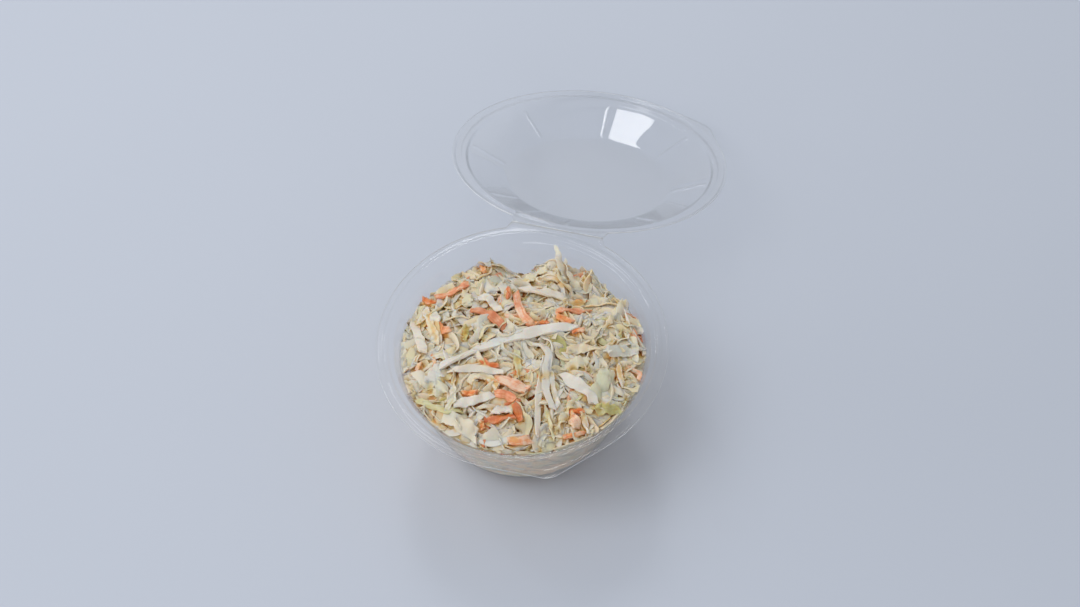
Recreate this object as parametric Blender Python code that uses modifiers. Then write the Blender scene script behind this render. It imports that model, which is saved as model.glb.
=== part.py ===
"""Coleslaw in its clear hinged deli bowl, with the lid lying open behind it.

The bowl stands on its flat base at the origin, +Z up. The hinge crease runs along X on the +Y side.
The real bowl and lid are one sheet of plastic. Here each is its own shell, and the living hinge
between them is a narrow slit along the crease. The lid turns about LidHinge, an empty on the crease.
Radii and depths of the shells' profiles are in rim radii, everything else is in metres.
"""
import math

import bmesh
import bpy
from mathutils import Matrix, Vector, noise

# Driving dimensions.
RIM_RADIUS = 0.062  # outer foot of the bead that runs round both flanges
RIM_HEIGHT = 0.052  # top of the bowl's flange above the table
WALL = 0.0005  # thickness of the plastic sheet
GAP = 0.0003  # clearance between the closed lid and the bowl
TABLE_GAP = 0.0001  # between the table and the far edge of the open lid

# Flange, shared by bowl and lid so that they nest.
LIP_BOWL = 1.04
LIP_LID = 1.015
BEAD_PROFILE = ((1.0, 0.0), (0.986, 0.016), (0.959, 0.016), (0.945, 0.0))
FLANGE_INNER = 0.914

# Hinge: the flanges reach out to a straight crease.
HINGE_REACH = 1.039 * RIM_RADIUS  # from either centre to the crease
HINGE_HALF_ANGLE = 18.0  # degrees, from the middle of the strip to its corner
HINGE_FLARE_ANGLE = 20.5  # degrees, where the strip runs out into the lip
BOWL_SLIT = 0.0002  # from the axis to the bowl's edge of the crease
LID_SLIT = 0.00045  # from the axis to the lid's edge, which swings under it when open
AXIS_HEIGHT = RIM_HEIGHT + GAP / 2

# Corner tabs for opening: straight sides tangent to the lip, with a blunted tip.
BOWL_TAB = {"middle": -66.0, "spread": 24.0, "blunt": 1.122}
LID_TAB = {"middle": 47.0, "spread": 20.0, "blunt": 1.070}

# Bowl wall: a small step below the flange, a straight taper, and a large radius into the base.
BOWL_STEP = ((0.893, -0.030), (0.872, -0.060))
BASE_DEPTH = RIM_HEIGHT / RIM_RADIUS - WALL / RIM_RADIUS
BASE_RADIUS = 0.40
BASE_CORNER = 0.30
CORNER_STEPS = 5

# Lid wall: the same step, then a shallow cone down to a flat round panel.
LID_STEP = ((0.898, -0.032), (0.885, -0.040))
LID_WALL_FOOT = (0.615, -0.158)
LID_PANEL = (0.590, -0.165)
RIB_COUNT = 8
RIB_START = 2.0  # degrees, direction of the first rib from the lid's centre
RIB_HALF_WIDTH = 1.6  # degrees
RIB_RISE = 0.013
RIB_FADE = 0.12  # share of the wall over which a rib rises to its full height
STEPS_BETWEEN_RIBS = 5

# Coleslaw: a low mound that meets the wall just below the flange and falls away at the hinge side.
HEAP_GAP = 0.0004  # between the heap and the wall
HEAP_EDGE_DROP = 0.0030
HEAP_CROWN = 0.0055
HEAP_FALL = 0.0115
HEAP_FALL_START = 0.008
HEAP_RADIUS = 0.0535
HEAP_RINGS = 16
HEAP_SIDE_RINGS = 4
EDGE_PASSES = 4  # rounds in which the heap's edge settles against the sloping wall
LUMPS = ((0.0120, 0.0030), (0.0065, 0.0020))  # size and height of the lumps on the surface
# Where the heap stands up, or dips along the wall: place from above, and rise.
PEAKS = (
    (0.006, 0.041, 0.0085),
    (0.034, 0.029, 0.0050),
    (-0.030, 0.036, 0.0040),
    (0.012, -0.012, 0.0020),
    (-0.025, 0.0455, 0.0045),
    (-0.0135, 0.047, -0.0060),
    (0.002, 0.050, 0.0050),
    (0.020, 0.047, 0.0050),
    (-0.047, 0.021, -0.0035),
    (-0.051, 0.008, -0.0045),
    (-0.050, -0.006, -0.0045),
    (-0.046, -0.020, -0.0040),
)
PEAK_WIDTH = 0.0045

ANGLE_STEP = 6.0  # degrees between the corners of a ring
SHARP_ANGLE = 35.0  # degrees, above which an edge is shaded sharp


def clear_scene():
    for thing in list(bpy.data.objects):
        bpy.data.objects.remove(thing, do_unlink=True)


def smooth_step(value):
    value = min(max(value, 0.0), 1.0)
    return value * value * (3.0 - 2.0 * value)


def angle_between(first, second):
    """The angle between two directions in degrees, from 0 to 180."""
    return abs((first - second + 180.0) % 360.0 - 180.0)


def polar(radius, angle, height):
    turn = math.radians(angle)
    return Vector((radius * math.cos(turn), radius * math.sin(turn), height))


def plastic():
    material = bpy.data.materials.new("clear_plastic")
    material.use_nodes = True
    shader = material.node_tree.nodes["Principled BSDF"]
    shader.inputs["Base Color"].default_value = (0.86, 0.89, 0.93, 1.0)
    shader.inputs["Roughness"].default_value = 0.06
    shader.inputs["Metallic"].default_value = 0.0
    shader.inputs["Alpha"].default_value = 0.3
    return material


def dressed_cabbage():
    material = bpy.data.materials.new("coleslaw")
    material.use_nodes = True
    shader = material.node_tree.nodes["Principled BSDF"]
    shader.inputs["Base Color"].default_value = (0.80, 0.74, 0.60, 1.0)
    shader.inputs["Roughness"].default_value = 0.35
    shader.inputs["Metallic"].default_value = 0.0
    return material


def skin(name, rings, first_tip=None, last_tip=None):
    """A surface through closed rings of points, with a fan of triangles to the tip at either end."""
    shape = bmesh.new()
    loops = [[shape.verts.new(point) for point in ring] for ring in rings]
    count = len(rings[0])
    for lower, upper in zip(loops, loops[1:]):
        for k in range(count):
            following = (k + 1) % count
            shape.faces.new((lower[k], lower[following], upper[following], upper[k]))
    if first_tip is not None:
        tip = shape.verts.new(first_tip)
        for k in range(count):
            shape.faces.new((tip, loops[0][(k + 1) % count], loops[0][k]))
    if last_tip is not None:
        tip = shape.verts.new(last_tip)
        for k in range(count):
            shape.faces.new((tip, loops[-1][k], loops[-1][(k + 1) % count]))
    mesh = bpy.data.meshes.new(name)
    shape.to_mesh(mesh)
    shape.free()
    return bpy.data.objects.new(name, mesh)


def thicken(piece):
    """Give the surface its sheet thickness on the side away from the food."""
    solid = piece.modifiers.new("sheet", "SOLIDIFY")
    solid.thickness = WALL
    solid.offset = -1.0
    solid.use_even_offset = True


def finish(piece, material, collection):
    piece.data.materials.append(material)
    piece.data.shade_smooth()
    piece.data.set_sharp_from_angle(angle=math.radians(SHARP_ANGLE))
    collection.objects.link(piece)


def lip_radius(angle, circle, tab, hinge_side, slit):
    """Distance from the centre to the trimmed edge of a flange, in the direction angle."""
    from_hinge = angle_between(angle, hinge_side)
    if from_hinge <= HINGE_HALF_ANGLE:
        return (HINGE_REACH - slit) / math.cos(math.radians(from_hinge))
    from_tab = angle_between(angle, tab["middle"])
    if from_tab < tab["spread"]:
        side = circle / math.cos(math.radians(tab["spread"] - from_tab))
        return RIM_RADIUS * min(side, tab["blunt"])
    return RIM_RADIUS * circle


def bowl_angles():
    """Even steps, with extra ones where the hinge strip flares and where the tab is blunted."""
    angles = [ANGLE_STEP * k for k in range(round(360.0 / ANGLE_STEP))]
    angles += [90.0 - HINGE_FLARE_ANGLE, 90.0 + HINGE_FLARE_ANGLE]
    tab_corner = BOWL_TAB["middle"] + 360.0
    angles += [tab_corner - ANGLE_STEP / 2, tab_corner + ANGLE_STEP / 2]
    return sorted(angles)


def bowl_wall():
    """Radius and height of the bowl's inner surface, from the flange's inner edge to the base."""
    top = Vector(BOWL_STEP[-1])
    centre = Vector((BASE_RADIUS, BASE_CORNER - BASE_DEPTH))
    sight = top - centre
    start = math.atan2(sight.y, sight.x) - math.acos(BASE_CORNER / sight.length)
    points = [(FLANGE_INNER, 0.0), *BOWL_STEP]
    for k in range(CORNER_STEPS + 1):
        turn = start + (-math.pi / 2 - start) * k / CORNER_STEPS
        points.append((centre.x + BASE_CORNER * math.cos(turn), centre.y + BASE_CORNER * math.sin(turn)))
    return [(RIM_RADIUS * radius, RIM_HEIGHT + RIM_RADIUS * height) for radius, height in points]


def make_bowl(material, collection):
    """Flange with bead, tab and hinge strip, then step, tapered wall and rounded base."""
    angles = bowl_angles()
    rings = [[polar(lip_radius(a, LIP_BOWL, BOWL_TAB, 90.0, BOWL_SLIT), a, RIM_HEIGHT) for a in angles]]
    for radius, rise in BEAD_PROFILE:
        height = RIM_HEIGHT + RIM_RADIUS * rise
        rings.append([polar(RIM_RADIUS * radius, a, height) for a in angles])
    for radius, height in bowl_wall():
        rings.append([polar(radius, a, height) for a in angles])
    bowl = skin("bowl", rings, last_tip=Vector((0.0, 0.0, WALL)))
    thicken(bowl)
    finish(bowl, material, collection)


def lid_angles():
    """Three angles across each rib and four between ribs, with extra ones at the hinge strip."""
    sector = 360.0 / RIB_COUNT
    plain = sector - 2 * RIB_HALF_WIDTH
    angles = []
    for k in range(RIB_COUNT):
        rib = RIB_START + sector * k
        angles += [rib - RIB_HALF_WIDTH, rib, rib + RIB_HALF_WIDTH]
        start = rib + RIB_HALF_WIDTH
        angles += [start + plain * step / STEPS_BETWEEN_RIBS for step in range(1, STEPS_BETWEEN_RIBS)]
    for half in (HINGE_HALF_ANGLE, HINGE_FLARE_ANGLE):
        angles += [270.0 - half, 270.0 + half]
    return sorted(angles)


def rib_rise(angle):
    """Height of the rib's crest over the wall, in rim radii."""
    sector = 360.0 / RIB_COUNT
    from_rib = abs((angle - RIB_START + sector / 2) % sector - sector / 2)
    return RIB_RISE * max(0.0, 1.0 - from_rib / RIB_HALF_WIDTH)


def make_lid(material, collection, hinge):
    """A dish upside down when shut: its food side faces up here and its panel lies lowest."""
    angles = lid_angles()
    sheet = -GAP / 2
    edge = [polar(lip_radius(a, LIP_LID, LID_TAB, 270.0, LID_SLIT), a, sheet) for a in angles]
    rings = [edge]
    profile = [(radius, -rise, 0.0) for radius, rise in BEAD_PROFILE]
    profile += [(FLANGE_INNER, 0.0, 0.0), (*LID_STEP[0], 0.0)]
    top = Vector(LID_STEP[-1])
    foot = Vector(LID_WALL_FOOT)
    for share, rib in ((0.0, 0.0), (RIB_FADE, 1.0), (1.0 - RIB_FADE, 1.0), (1.0, 0.0)):
        profile.append((*top.lerp(foot, share), rib))
    profile.append((*LID_PANEL, 0.0))
    for radius, height, rib in profile:
        rings.append([
            polar(RIM_RADIUS * radius, a, sheet + RIM_RADIUS * (height + rib * rib_rise(a))) for a in angles
        ])
    centre = Vector((0.0, 0.0, sheet + RIM_RADIUS * LID_PANEL[1]))
    lid = skin("lid", rings, last_tip=centre)
    lid.data.transform(Matrix.Translation((0.0, HINGE_REACH, 0.0)))
    thicken(lid)
    finish(lid, material, collection)
    lid.parent = hinge


def open_angle():
    """How far below level the open lid lies, with its far edge on the table."""
    reach = HINGE_REACH + LIP_LID * RIM_RADIUS
    under = GAP / 2 + WALL
    return math.asin((AXIS_HEIGHT - TABLE_GAP) / math.hypot(reach, under)) - math.atan2(under, reach)


def make_hinge(collection):
    hinge = bpy.data.objects.new("LidHinge", None)
    hinge.location = (0.0, HINGE_REACH, AXIS_HEIGHT)
    hinge.rotation_euler = (-open_angle(), 0.0, 0.0)
    collection.objects.link(hinge)
    return hinge


def wall_radius(height):
    """The bowl's inner radius at a height, by straight lines between its profile's points."""
    points = bowl_wall()
    for (outer, upper), (inner, lower) in zip(points, points[1:]):
        if lower <= height <= upper:
            return inner + (outer - inner) * (height - lower) / (upper - lower)
    return points[0][0]


def heap_height(x, y):
    """Height of the coleslaw's uneven surface above the table."""
    spread = min(math.hypot(x, y) / HEAP_RADIUS, 1.0)
    fall = smooth_step((y - HEAP_FALL_START) / (HEAP_RADIUS - HEAP_FALL_START))
    height = RIM_HEIGHT - HEAP_EDGE_DROP + HEAP_CROWN * (1.0 - spread**2) - HEAP_FALL * fall
    for size, rise in LUMPS:
        height += rise * noise.noise(Vector((x / size, y / size, size / LUMPS[0][0])))
    for peak_x, peak_y, rise in PEAKS:
        height += rise * math.exp(-((x - peak_x) ** 2 + (y - peak_y) ** 2) / (2 * PEAK_WIDTH**2))
    return height


def heap_edge(angle):
    """Where the heap's surface meets the wall in the direction angle, as (radius, height)."""
    radius = HEAP_RADIUS
    for _ in range(EDGE_PASSES):
        point = polar(radius, angle, 0.0)
        height = min(heap_height(point.x, point.y), RIM_HEIGHT + RIM_RADIUS * BOWL_STEP[-1][1])
        radius = wall_radius(height) - HEAP_GAP
    return radius, height


def make_coleslaw(material, collection):
    """One solid out to the heap's uneven surface, resting in the bowl a hair clear of its wall."""
    angles = bowl_angles()
    edges = [heap_edge(a) for a in angles]
    floor = WALL + HEAP_GAP
    corner = bowl_wall()[-CORNER_STEPS - 1:]
    rings = []
    for radius, height in reversed(corner):
        rings.append([polar(radius - HEAP_GAP, a, height + HEAP_GAP) for a in angles])
    wall_foot = corner[0][1] + HEAP_GAP
    for k in range(1, HEAP_SIDE_RINGS + 1):
        share = k / HEAP_SIDE_RINGS
        ring = []
        for a, (_, top) in zip(angles, edges):
            height = wall_foot + (top - wall_foot) * share
            ring.append(polar(wall_radius(height) - HEAP_GAP, a, height))
        rings.append(ring)
    for k in range(HEAP_RINGS - 1, 0, -1):
        share = k / HEAP_RINGS
        ring = []
        for a, (edge, _) in zip(angles, edges):
            point = polar(edge * share, a, 0.0)
            ring.append(Vector((point.x, point.y, heap_height(point.x, point.y))))
        rings.append(ring)
    heap = skin(
        "coleslaw", rings,
        first_tip=Vector((0.0, 0.0, floor)), last_tip=Vector((0.0, 0.0, heap_height(0.0, 0.0))),
    )
    finish(heap, material, collection)


def main():
    clear_scene()
    collection = bpy.data.collections.new("ColeslawBowl")
    bpy.context.scene.collection.children.link(collection)
    clear_plastic = plastic()
    make_bowl(clear_plastic, collection)
    make_coleslaw(dressed_cabbage(), collection)
    make_lid(clear_plastic, collection, make_hinge(collection))
    bpy.context.view_layer.update()


main()
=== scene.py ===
"""Looks of the coleslaw in its clear hinged deli bowl: shells, shreds, dressing, floor, light, camera.

Sizes are in metres. The shells' profiles are in rim radii. What is heaped in the bowl is worked out
in millimetres, and its routes are plan positions seen from above with the hinge at +Y.
"""

import math

import bpy
import numpy as np
from mathutils import Matrix, Vector
from mathutils.bvhtree import BVHTree


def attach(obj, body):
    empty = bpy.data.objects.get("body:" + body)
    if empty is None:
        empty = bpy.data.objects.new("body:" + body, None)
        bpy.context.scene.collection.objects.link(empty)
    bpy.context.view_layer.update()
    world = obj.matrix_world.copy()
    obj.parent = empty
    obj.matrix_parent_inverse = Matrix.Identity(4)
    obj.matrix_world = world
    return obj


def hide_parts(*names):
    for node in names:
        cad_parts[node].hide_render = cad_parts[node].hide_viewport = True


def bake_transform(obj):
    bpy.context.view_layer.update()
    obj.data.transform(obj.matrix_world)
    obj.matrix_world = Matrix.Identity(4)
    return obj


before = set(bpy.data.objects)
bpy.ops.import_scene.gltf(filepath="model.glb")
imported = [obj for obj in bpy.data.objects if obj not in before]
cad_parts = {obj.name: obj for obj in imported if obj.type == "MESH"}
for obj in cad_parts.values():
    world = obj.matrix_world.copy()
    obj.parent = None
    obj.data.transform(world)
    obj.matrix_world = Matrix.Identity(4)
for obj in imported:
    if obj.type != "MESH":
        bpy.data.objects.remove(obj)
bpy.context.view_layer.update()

MM = 0.001

# The shells' sizes, as the solids have them.
RIM_RADIUS = 0.062
RIM_HEIGHT = 0.052
WALL = 0.0005
GAP = 0.0003
TABLE_GAP = 0.0001
LIP_BOWL = 1.04
LIP_LID = 1.015
BEAD_PROFILE = ((1.0, 0.0), (0.986, 0.016), (0.959, 0.016), (0.945, 0.0))
FLANGE_INNER = 0.914
HINGE_REACH = 1.039 * RIM_RADIUS
HINGE_HALF_ANGLE = 18.0
HINGE_FLARE_ANGLE = 20.5
BOWL_SLIT = 0.0002
LID_SLIT = 0.00045
AXIS_HEIGHT = RIM_HEIGHT + GAP / 2
BOWL_TAB = {"middle": -66.0, "spread": 24.0, "blunt": 1.122}
LID_TAB = {"middle": 47.0, "spread": 20.0, "blunt": 1.070}
BOWL_STEP = ((0.893, -0.030), (0.872, -0.060))
BASE_DEPTH = (RIM_HEIGHT - WALL) / RIM_RADIUS
BASE_RADIUS = 0.40
BASE_CORNER = 0.30
LID_STEP = ((0.898, -0.032), (0.885, -0.040))
LID_WALL_FOOT = (0.615, -0.158)
LID_PANEL = (0.590, -0.165)
LID_FOOT_FOLD = 0.030  # rim radii, the wide soft fold between the lid's wall and its panel
RIB_COUNT = 8
RIB_START = 2.0
RIB_HALF_WIDTH = 1.6
RIB_RISE = 0.013
RIB_FADE = 0.12

# Finer than the solids.
BOWL_ANGLES = 300
CORNER_STEPS = 24
FOLD = 0.010  # rim radii, how far a fold in the sheet is rounded to either side
FOLD_STEPS = 6

# View: the camera stands in front and to the right, looking down on the bowl.
CAMERA_AZIMUTH = 16.294
CAMERA_ELEVATION = 55.593
CAMERA_ROLL = -2.742
CAMERA_DISTANCE = 35.809 * RIM_RADIUS
CAMERA_LENS = 168.27
RIM_LEFT_OF_AXIS = 0.003536  # share of the distance
RIM_BELOW_AXIS = 0.008451


# ---------------------------------------------------------------- shells

def polar(radius, angle, height):
    turn = math.radians(angle)
    return (radius * math.cos(turn), radius * math.sin(turn), height)


def angle_between(first, second):
    return abs((first - second + 180.0) % 360.0 - 180.0)


def lip_radius(angle, circle, tab, hinge_side, slit):
    """Distance from the centre to the trimmed edge of a flange, in the direction angle."""
    from_hinge = angle_between(angle, hinge_side)
    if from_hinge <= HINGE_HALF_ANGLE:
        return (HINGE_REACH - slit) / math.cos(math.radians(from_hinge))
    if from_hinge < HINGE_FLARE_ANGLE:
        corner = (HINGE_REACH - slit) / math.cos(math.radians(HINGE_HALF_ANGLE))
        share = (from_hinge - HINGE_HALF_ANGLE) / (HINGE_FLARE_ANGLE - HINGE_HALF_ANGLE)
        return corner + (circle * RIM_RADIUS - corner) * share
    from_tab = angle_between(angle, tab["middle"])
    if from_tab < tab["spread"]:
        side = circle / math.cos(math.radians(tab["spread"] - from_tab))
        return RIM_RADIUS * min(side, tab["blunt"])
    return RIM_RADIUS * circle


def rounded(profile, wide=(), steps=FOLD_STEPS):
    """The same outline with a short curve in place of each corner, or a wider one where wide gives it."""
    profile = [np.array(point, float) for point in profile]
    points = [profile[0]]
    for before, corner, after in zip(profile, profile[1:], profile[2:]):
        cut = dict(wide).get(tuple(corner), FOLD)
        back = before - corner
        ahead = after - corner
        start = corner + back * min(cut / np.linalg.norm(back), 0.48)
        end = corner + ahead * min(cut / np.linalg.norm(ahead), 0.48)
        for t in np.linspace(0.0, 1.0, steps + 1):
            points.append((1 - t) ** 2 * start + 2 * t * (1 - t) * corner + t**2 * end)
    points.append(profile[-1])
    return points


def skin(name, rings, tip):
    """An open surface through closed rings of points, closed by a fan to the tip."""
    count = len(rings[0])
    points = [point for ring in rings for point in ring] + [tip]
    faces = []
    for r in range(len(rings) - 1):
        for k in range(count):
            following = (k + 1) % count
            first, second = r * count, (r + 1) * count
            faces.append((first + k, first + following, second + following, second + k))
    last = (len(rings) - 1) * count
    faces += [(len(points) - 1, last + k, last + (k + 1) % count) for k in range(count)]
    mesh = bpy.data.meshes.new(name)
    mesh.from_pydata(points, [], faces)
    piece = bpy.data.objects.new(name, mesh)
    bpy.context.scene.collection.objects.link(piece)
    return piece


def as_sheet(piece):
    """Give a surface the thickness of the plastic, on the side away from the food, and smooth it."""
    solid = piece.modifiers.new("sheet", "SOLIDIFY")
    solid.thickness = WALL
    solid.offset = -1.0
    solid.use_even_offset = True
    solid.material_offset_rim = 1
    piece.data.shade_smooth()
    piece.data.set_sharp_from_angle(angle=math.radians(50.0))


def flange_ring(share, height, angles, lip, tab, hinge_side, slit):
    """A ring of the flange. Outside the bead it stretches out to the trimmed edge."""
    ring = []
    for angle in angles:
        radius = RIM_RADIUS * share
        if share > 1.0:
            edge = lip_radius(angle, lip, tab, hinge_side, slit)
            radius = RIM_RADIUS + (edge - RIM_RADIUS) * (share - 1.0) / (lip - 1.0)
        ring.append(polar(radius, angle, height))
    return ring


def bowl_profile():
    """Radius and height in rim radii of the bowl's food side, from the lip to the base."""
    top = np.array(BOWL_STEP[-1])
    centre = np.array((BASE_RADIUS, BASE_CORNER - BASE_DEPTH))
    sight = top - centre
    start = math.atan2(sight[1], sight[0]) - math.acos(BASE_CORNER / np.linalg.norm(sight))
    corner = []
    for k in range(CORNER_STEPS + 1):
        turn = start + (-math.pi / 2 - start) * k / CORNER_STEPS
        corner.append((centre[0] + BASE_CORNER * math.cos(turn), centre[1] + BASE_CORNER * math.sin(turn)))
    folds = [(LIP_BOWL, 0.0), *BEAD_PROFILE, (FLANGE_INNER, 0.0), *BOWL_STEP, corner[0]]
    return rounded(folds)[:-1] + [np.array(point) for point in corner]


def wall_heights():
    """The food side of the bowl's wall in millimetres, as rising heights and their radii."""
    points = [p for p in bowl_profile() if p[0] <= FLANGE_INNER]
    heights = np.array([RIM_HEIGHT + RIM_RADIUS * p[1] for p in points]) / MM
    radii = np.array([RIM_RADIUS * p[0] for p in points]) / MM
    return heights[::-1], radii[::-1]


def make_bowl():
    angles = np.linspace(0.0, 360.0, BOWL_ANGLES, endpoint=False)
    rings = []
    for share, rise in bowl_profile():
        height = RIM_HEIGHT + RIM_RADIUS * rise
        rings.append(flange_ring(share, height, angles, LIP_BOWL, BOWL_TAB, 90.0, BOWL_SLIT))
    piece = skin("bowl_shell", rings, (0.0, 0.0, WALL))
    as_sheet(piece)
    return piece


def lid_angles():
    """Close steps across each rib and wider ones between ribs."""
    sector = 360.0 / RIB_COUNT
    angles = []
    for k in range(RIB_COUNT):
        rib = RIB_START + sector * k
        angles += list(rib + np.linspace(-1.0, 1.0, 11) * RIB_HALF_WIDTH)
        angles += list(np.linspace(rib + RIB_HALF_WIDTH, rib + sector - RIB_HALF_WIDTH, 29)[1:-1])
    for half in (HINGE_HALF_ANGLE, HINGE_FLARE_ANGLE):
        angles += [270.0 - half, 270.0 + half]
    return sorted(angles)


def rib_rise(angle):
    sector = 360.0 / RIB_COUNT
    from_rib = abs((angle - RIB_START + sector / 2) % sector - sector / 2)
    return RIB_RISE * math.cos(math.pi / 2 * min(from_rib / RIB_HALF_WIDTH, 1.0)) ** 2


def lid_place():
    """From the lid's own frame, crease at its origin, to where it lies open."""
    reach = HINGE_REACH + LIP_LID * RIM_RADIUS
    under = GAP / 2 + WALL
    tilt = math.asin((AXIS_HEIGHT - TABLE_GAP) / math.hypot(reach, under)) - math.atan2(under, reach)
    return Matrix.Translation((0.0, HINGE_REACH, AXIS_HEIGHT)) @ Matrix.Rotation(-tilt, 4, "X")


def make_lid():
    angles = lid_angles()
    sheet = -GAP / 2
    folds = [(LIP_LID, 0.0)] + [(radius, -rise) for radius, rise in BEAD_PROFILE]
    folds += [(FLANGE_INNER, 0.0), *LID_STEP, LID_WALL_FOOT, LID_PANEL, (LID_PANEL[0] - 0.06, LID_PANEL[1])]
    outline = rounded(folds, wide=((LID_WALL_FOOT, LID_FOOT_FOLD), (LID_PANEL, LID_FOOT_FOLD)))
    top, foot = LID_STEP[-1][0], LID_WALL_FOOT[0]
    wall = [p for p in outline if foot < p[0] < top]
    for share in np.linspace(0.04, 0.96, 24):
        radius = top + (foot - top) * share
        if min(abs(radius - p[0]) for p in wall) > 0.004:
            fall = LID_STEP[-1][1] + (LID_WALL_FOOT[1] - LID_STEP[-1][1]) * share
            outline.append(np.array((radius, fall)))
    outline.sort(key=lambda p: -p[0])
    rings = []
    for share, rise in outline:
        ring = flange_ring(share, sheet + RIM_RADIUS * rise, angles, LIP_LID, LID_TAB, 270.0, LID_SLIT)
        along = (top - share) / (top - foot)
        if 0.0 < along < 1.0:
            fade = min(along, 1.0 - along, RIB_FADE) / RIB_FADE
            fade = fade * fade * (3.0 - 2.0 * fade)
            ring = [(x, y, z + RIM_RADIUS * fade * rib_rise(a)) for a, (x, y, z) in zip(angles, ring)]
        rings.append(ring)
    piece = skin("lid_shell", rings, (0.0, 0.0, sheet + RIM_RADIUS * LID_PANEL[1]))
    piece.data.transform(lid_place() @ Matrix.Translation((0.0, HINGE_REACH, 0.0)))
    as_sheet(piece)
    return piece


def make_hinge_film():
    """The thinned strip of sheet between bowl and lid, laid straight from one crease to the other."""
    half = HINGE_REACH * math.tan(math.radians(HINGE_HALF_ANGLE))
    middle = -GAP / 2 - WALL / 2
    thickness = 0.00014
    near = Vector((0.0, HINGE_REACH - BOWL_SLIT - 0.00002, AXIS_HEIGHT + middle))
    far = lid_place() @ Vector((0.0, LID_SLIT + 0.00002, middle))
    across = (far - near).cross(Vector((1.0, 0.0, 0.0))).normalized() * thickness / 2
    stations = 9
    columns = 25
    points = []
    for side in (-1, 1):
        for s in range(stations):
            centre = near.lerp(far, s / (stations - 1)) + across * side
            for x in np.linspace(-half, half, columns):
                points.append(centre + Vector((x, 0.0, 0.0)))
    layer = stations * columns
    faces = []
    for s in range(stations - 1):
        for c in range(columns - 1):
            k = s * columns + c
            faces.append((k, k + 1, k + columns + 1, k + columns))
            faces.append((layer + k, layer + k + columns, layer + k + columns + 1, layer + k + 1))
    rim = [c for c in range(columns)]
    rim += [s * columns + columns - 1 for s in range(1, stations)]
    rim += [(stations - 1) * columns + c for c in range(columns - 2, -1, -1)]
    rim += [s * columns for s in range(stations - 2, 0, -1)]
    for first, second in zip(rim, rim[1:] + rim[:1]):
        faces.append((second, first, layer + first, layer + second))
    mesh = bpy.data.meshes.new("hinge_film")
    mesh.from_pydata(points, [], faces)
    mesh.shade_smooth()
    piece = bpy.data.objects.new("hinge_film", mesh)
    bpy.context.scene.collection.objects.link(piece)
    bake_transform(piece)
    return piece


# ---------------------------------------------------------------- heap

CELL = 0.4  # mm, pitch of the height map
HALF = 56.0
CELLS = int(2 * HALF / CELL) + 1
CORE_DEPTH = 4.4  # mm, how far the core stays below the heap's outline
DRESSING_DEPTH = 1.1  # mm, how far the dressing stays below the evened top of the strips
HIGHEST = 58.0  # mm, for any part of a strip
INTO_WALL = 0.12  # mm, how far what touches the wall reaches into it
WALL_HEIGHTS, WALL_RADII = wall_heights()


def wall_radius(height):
    """The bowl's inner radius in millimetres at a height in millimetres."""
    return np.interp(height, WALL_HEIGHTS, WALL_RADII)


def top_of(tree, x, y):
    """Height of the heap at a place, or, past its edge, at the nearest place that is on it."""
    hit = None
    while hit is None:
        hit = tree.ray_cast(Vector((x * MM, y * MM, 0.1)), Vector((0.0, 0.0, -1.0)))[0]
        x, y = x * 0.985, y * 0.985
    return hit.z / MM


def heap_outline():
    """Height of the solid heap's top at each cell, in millimetres."""
    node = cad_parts["coleslaw"]
    tree = BVHTree.FromPolygons(
        [v.co.copy() for v in node.data.vertices], [tuple(p.vertices) for p in node.data.polygons]
    )
    heights = np.full((CELLS, CELLS), np.nan)
    places = np.linspace(-HALF, HALF, CELLS)
    coarse = places[::3]
    sampled = np.array([[top_of(tree, x, y) for y in coarse] for x in coarse])
    for j in range(len(coarse)):
        heights[:, 3 * j] = np.interp(places, coarse, sampled[:, j])
    for i in range(CELLS):
        heights[i] = np.interp(places, coarse, heights[i, ::3])
    return heights


class Bed:
    """The surface that strips are laid on, a height map in millimetres."""

    def __init__(self, heights):
        self.heights = heights

    def cells(self, x, y):
        i = np.clip(np.rint((x + HALF) / CELL).astype(int), 0, CELLS - 1)
        j = np.clip(np.rint((y + HALF) / CELL).astype(int), 0, CELLS - 1)
        return i, j

    def read(self, x, y):
        return self.heights[self.cells(np.asarray(x), np.asarray(y))]

    def cover(self, x, y, tops):
        np.maximum.at(self.heights, self.cells(x, y), tops)

    def evened(self, passes):
        """The same bed with its bumps evened out, which says how deep under the surface a point lies."""
        heights = self.heights.copy()
        for _ in range(passes):
            for axis in (0, 1):
                heights = (np.roll(heights, 1, axis) + 2 * heights + np.roll(heights, -1, axis)) / 4
        return Bed(heights)


class WallBed(Bed):
    """What is pressed against the wall: a map of its depth, by way round in degrees and height."""

    STEP_ROUND = 0.5
    STEP_UP = 0.5

    def __init__(self):
        self.heights = np.zeros((int(360 / self.STEP_ROUND), int(52 / self.STEP_UP)))

    def cells(self, turn, height):
        i = np.rint(turn / self.STEP_ROUND).astype(int) % self.heights.shape[0]
        j = np.clip(np.rint(height / self.STEP_UP).astype(int), 0, self.heights.shape[1] - 1)
        return i, j


def smoothed(values, passes):
    values = np.array(values, float)
    for _ in range(passes):
        inner = (values[:-2] + 2 * values[1:-1] + values[2:]) / 4
        values = np.concatenate(([values[0]], inner, [values[-1]]))
    return values


def settle(under, passes):
    """A limp strip over an uneven bed: it rests on the high points and sags between them."""
    heights = under.copy()
    for _ in range(passes):
        sagging = heights.copy()
        sagging[1:-1] = (heights[:-2] + 2 * heights[1:-1] + heights[2:]) / 4
        sagging[0] = (heights[0] + 2 * heights[1] - heights[2]) / 2
        sagging[-1] = (heights[-1] + 2 * heights[-2] - heights[-3]) / 2
        heights = np.maximum(under, sagging)
    return heights


SECTION = np.array([
    (1.0, 0.0), (0.93, 0.85), (0.0, 1.0), (-0.93, 0.85), (-1.0, 0.0), (-0.93, -0.85), (0.0, -1.0), (0.93, -0.85),
])
ACROSS = np.linspace(-0.5, 0.5, 7)

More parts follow.
